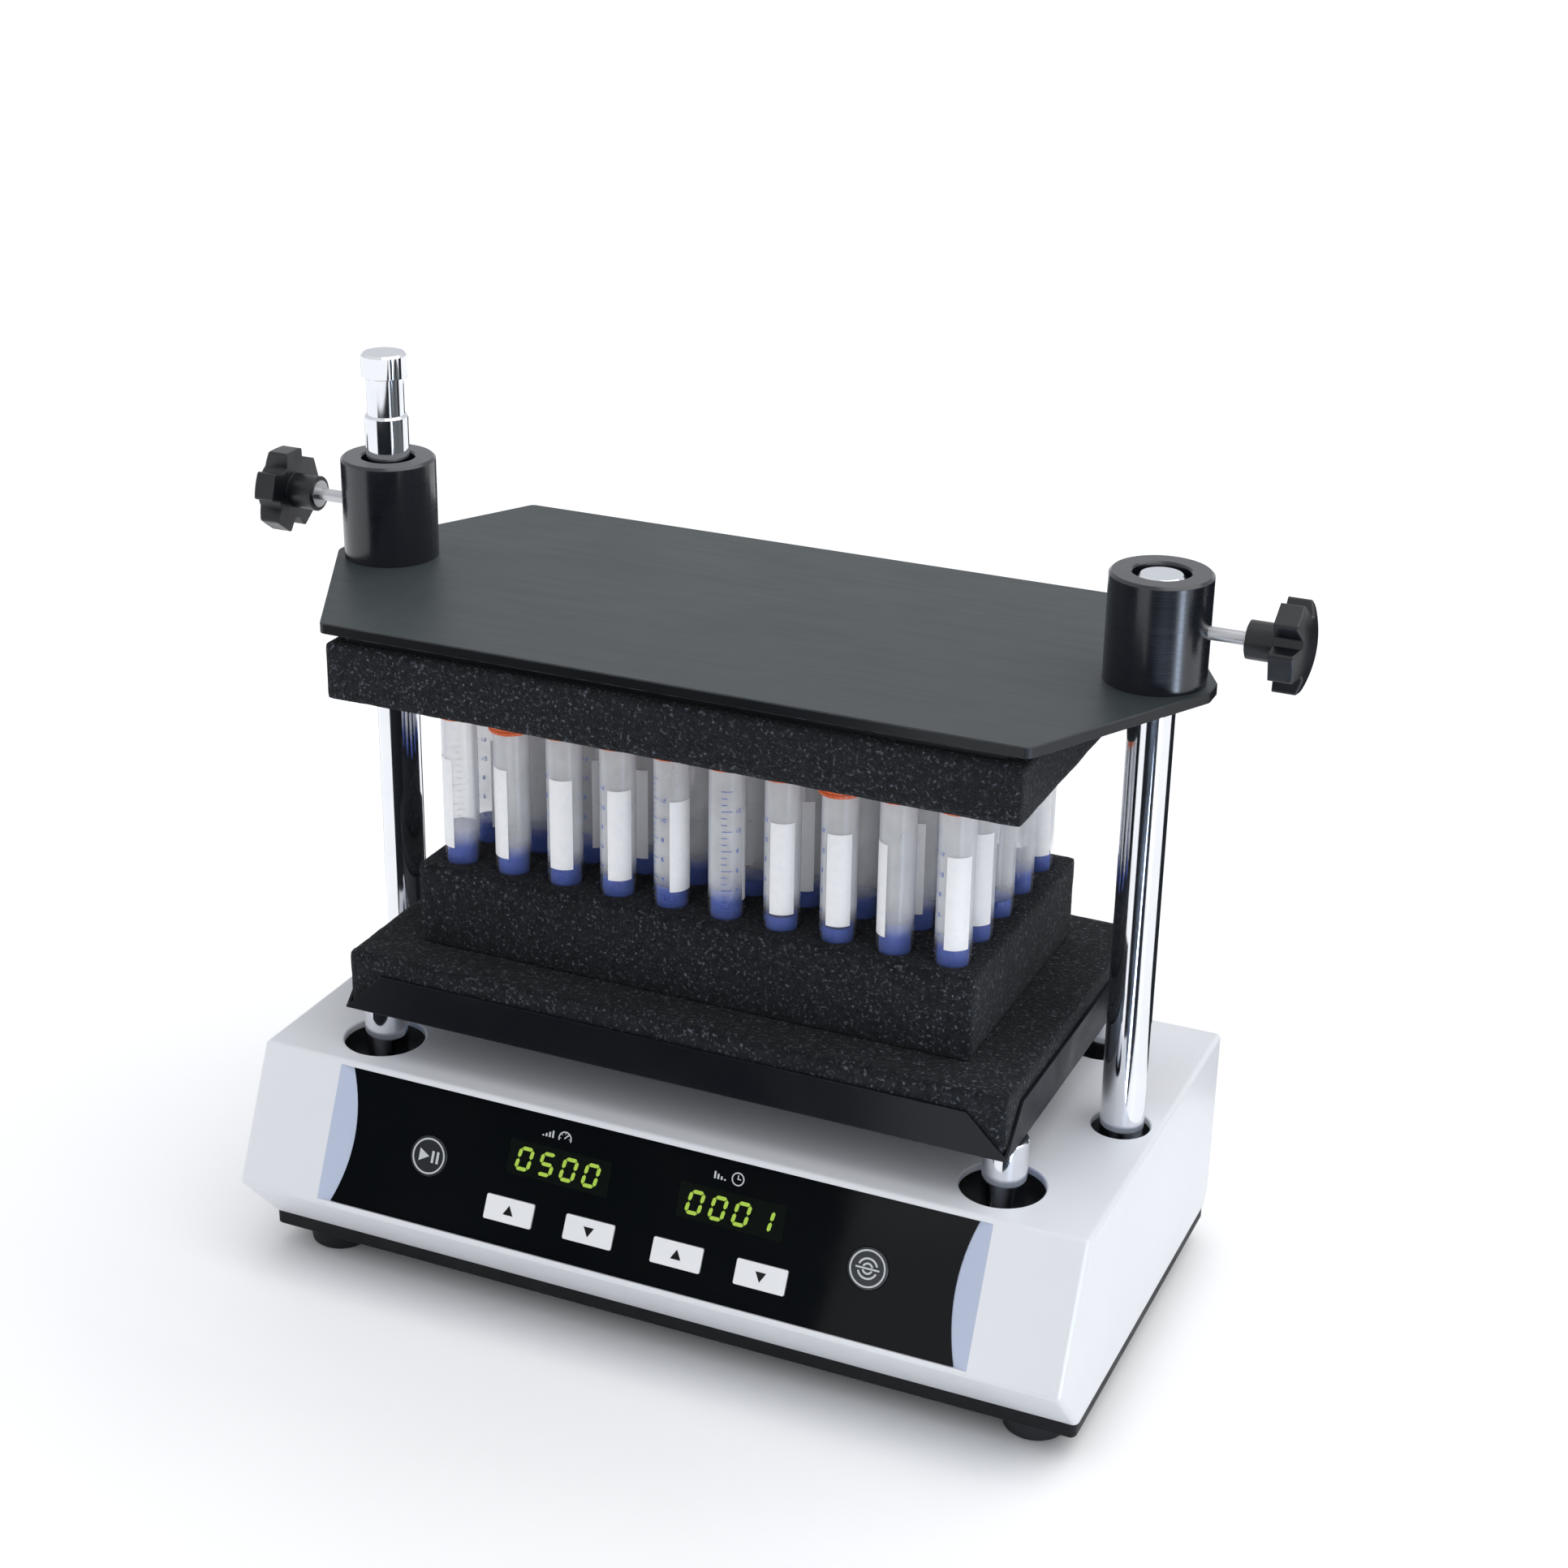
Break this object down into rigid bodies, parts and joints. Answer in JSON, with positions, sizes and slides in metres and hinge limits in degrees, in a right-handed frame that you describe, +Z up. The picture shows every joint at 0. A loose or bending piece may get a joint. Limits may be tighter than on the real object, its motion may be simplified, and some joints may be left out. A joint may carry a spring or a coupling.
{
  "type": "multi-tube vortex mixer",
  "caption": "Bench multi-tube vortex mixer: wedge-front white housing with a black key panel, orbiting tray with a foam tube rack, and a clamp plate locked on two tall posts by star knobs.",
  "frame": {"origin": "middle of the footprint, on the surface the feet stand on; the vertical drive axis is 10.17 mm behind it", "axes": "+X to the operator's right seen from the control panel, +Y away from the panel to the rear, +Z up"},
  "size_m": [0.526, 0.2448, 0.44],
  "materials": {
    "housing_white": "satin white moulding, fine texture",
    "base_black": "black powder coat",
    "foot_rubber": "matt black",
    "screw_steel": "zinc plated",
    "overlay_black": "gloss black film",
    "window_smoke": "smoked clear",
    "display_green": "LED module",
    "key_white": "white keycap",
    "key_grey": "dark keycap with a pale ring",
    "board_green": "circuit board",
    "motor_alu": "machined",
    "copper_stack": "varnished winding",
    "bearing_steel": "ground",
    "counterweight_brass": "machined",
    "idler_alu": "machined",
    "carriage_alu": "machined",
    "post_chrome": "polished hard chrome",
    "tray_black": "black satin powder coat",
    "foam_charcoal": "open-cell foam, speckled",
    "tube_clear": "translucent polypropylene",
    "cap_orange": "ribbed orange cap",
    "clamp_black": "dark slate satin",
    "collar_black": "black anodised, glossy",
    "backing_black": "satin",
    "pad_brass": "plain",
    "knob_black": "black phenolic",
    "inlet_black": "black moulding",
    "rocker_black": "black rocker",
    "wire_grey": "insulated lead"
  },
  "bodies": {
    "housing": {"upper_housing": "housing_white", "base_plate": "base_black", "housing_screws": "screw_steel", "rubber_feet": "foot_rubber", "foot_screws": "screw_steel", "panel_overlay": "overlay_black", "display_windows": "window_smoke", "display_modules": "display_green", "control_board": "board_green", "motor_case": "motor_alu", "motor_cover": "motor_alu", "stator": "copper_stack", "motor_bearings": "bearing_steel", "mount_screws": "screw_steel", "idler_blocks": "idler_alu", "idler_bearings": "bearing_steel", "mains_inlet": "inlet_black", "switch_bezel": "inlet_black", "driver_board": "board_green", "power_supply": "board_green", "board_standoffs": "motor_alu", "wiring_harness": "wire_grey"},
    "drive": {"rotor": "bearing_steel", "drive_shaft": "bearing_steel", "eccentric_hub": "bearing_steel", "counterweight": "counterweight_brass"},
    "idler_front_left": {"idler_crank_fl": "bearing_steel"},
    "idler_front_right": {"idler_crank_fr": "bearing_steel"},
    "idler_rear_left": {"idler_crank_rl": "bearing_steel"},
    "idler_rear_right": {"idler_crank_rr": "bearing_steel"},
    "carriage": {"carriage_plate": "carriage_alu", "carriage_bearings": "bearing_steel", "short_posts": "post_chrome", "left_tall_post": "post_chrome", "right_tall_post": "post_chrome", "post_nuts": "screw_steel", "sample_tray": "tray_black", "tray_screws": "screw_steel", "tray_foam": "foam_charcoal", "tube_rack": "foam_charcoal", "sample_tubes": "tube_clear", "tube_caps": "cap_orange"},
    "clamp": {"clamp_plate": "clamp_black", "backing_plate": "backing_black", "upper_foam": "foam_charcoal", "post_collars": "collar_black", "collar_screws": "screw_steel"},
    "left_pad": {"left_pressure_pad": "pad_brass"},
    "right_pad": {"right_pressure_pad": "pad_brass"},
    "left_knob": {"left_clamp_stud": "screw_steel", "left_star_knob": "knob_black"},
    "right_knob": {"right_clamp_stud": "screw_steel", "right_star_knob": "knob_black"},
    "speed_up": {"speed_up_key": "key_white"},
    "speed_down": {"speed_down_key": "key_white"},
    "time_up": {"time_up_key": "key_white"},
    "time_down": {"time_down_key": "key_white"},
    "start": {"start_key": "key_grey"},
    "mode": {"mode_key": "key_grey"},
    "rocker": {"power_rocker": "rocker_black"}
  },
  "joints": [
    {"name": "drive_spin", "type": "hinge", "parent": "housing", "child": "drive", "pos_m": [0, 0.01017, 0.07], "axis": [0, 0, 1], "continuous": true},
    {"name": "carriage_orbit", "type": "hinge", "parent": "drive", "child": "carriage", "pos_m": [0, 0.01197, 0.096], "axis": [0, 0, 1], "continuous": true},
    {"name": "idler_front_left_spin", "type": "hinge", "parent": "housing", "child": "idler_front_left", "pos_m": [-0.112, -0.04783, 0.08], "axis": [0, 0, 1], "continuous": true},
    {"name": "idler_front_right_spin", "type": "hinge", "parent": "housing", "child": "idler_front_right", "pos_m": [0.112, -0.04783, 0.08], "axis": [0, 0, 1], "continuous": true},
    {"name": "idler_rear_left_spin", "type": "hinge", "parent": "housing", "child": "idler_rear_left", "pos_m": [-0.112, 0.06817, 0.08], "axis": [0, 0, 1], "continuous": true},
    {"name": "idler_rear_right_spin", "type": "hinge", "parent": "housing", "child": "idler_rear_right", "pos_m": [0.112, 0.06817, 0.08], "axis": [0, 0, 1], "continuous": true},
    {"name": "clamp_lift", "type": "slide", "parent": "carriage", "child": "clamp", "axis": [0, 0, 1], "range_m": [0, 0.0549]},
    {"name": "left_pad_slide", "type": "slide", "parent": "clamp", "child": "left_pad", "axis": [-1, 0, 0], "range_m": [0, 0.003]},
    {"name": "left_knob_turn", "type": "hinge", "parent": "left_pad", "child": "left_knob", "pos_m": [-0.24, 0.01197, 0.3643], "axis": [-1, 0, 0], "range_deg": [0, 1080]},
    {"name": "right_pad_slide", "type": "slide", "parent": "clamp", "child": "right_pad", "axis": [1, 0, 0], "range_m": [0, 0.003]},
    {"name": "right_knob_turn", "type": "hinge", "parent": "right_pad", "child": "right_knob", "pos_m": [0.24, 0.01197, 0.3643], "axis": [1, 0, 0], "range_deg": [0, 1080]},
    {"name": "speed_up_press", "type": "slide", "parent": "housing", "child": "speed_up", "axis": [0, 0.8892, -0.4575], "range_m": [0, 0.0005], "stiffness_N_per_m": 600},
    {"name": "speed_down_press", "type": "slide", "parent": "housing", "child": "speed_down", "axis": [0, 0.8892, -0.4575], "range_m": [0, 0.0005], "stiffness_N_per_m": 600},
    {"name": "time_up_press", "type": "slide", "parent": "housing", "child": "time_up", "axis": [0, 0.8892, -0.4575], "range_m": [0, 0.0005], "stiffness_N_per_m": 600},
    {"name": "time_down_press", "type": "slide", "parent": "housing", "child": "time_down", "axis": [0, 0.8892, -0.4575], "range_m": [0, 0.0005], "stiffness_N_per_m": 600},
    {"name": "start_press", "type": "slide", "parent": "housing", "child": "start", "axis": [0, 0.9109, -0.4127], "range_m": [0, 0.0005], "stiffness_N_per_m": 600},
    {"name": "mode_press", "type": "slide", "parent": "housing", "child": "mode", "axis": [0, 0.9109, -0.4127], "range_m": [0, 0.0005], "stiffness_N_per_m": 600},
    {"name": "power_rocker_tip", "type": "hinge", "parent": "housing", "child": "rocker", "pos_m": [-0.118, 0.11517, 0.06], "axis": [1, 0, 0], "range_deg": [-18, 0]}
  ],
  "couplings": [
    {"joint": "carriage_orbit", "follows": "drive_spin", "ratio": -1},
    {"joint": "idler_front_left_spin", "follows": "drive_spin", "ratio": 1},
    {"joint": "idler_front_right_spin", "follows": "drive_spin", "ratio": 1},
    {"joint": "idler_rear_left_spin", "follows": "drive_spin", "ratio": 1},
    {"joint": "idler_rear_right_spin", "follows": "drive_spin", "ratio": 1},
    {"joint": "left_knob_turn", "follows": "left_pad_slide", "rad_per_m": 6283.2},
    {"joint": "right_knob_turn", "follows": "right_pad_slide", "rad_per_m": 6283.2}
  ]
}
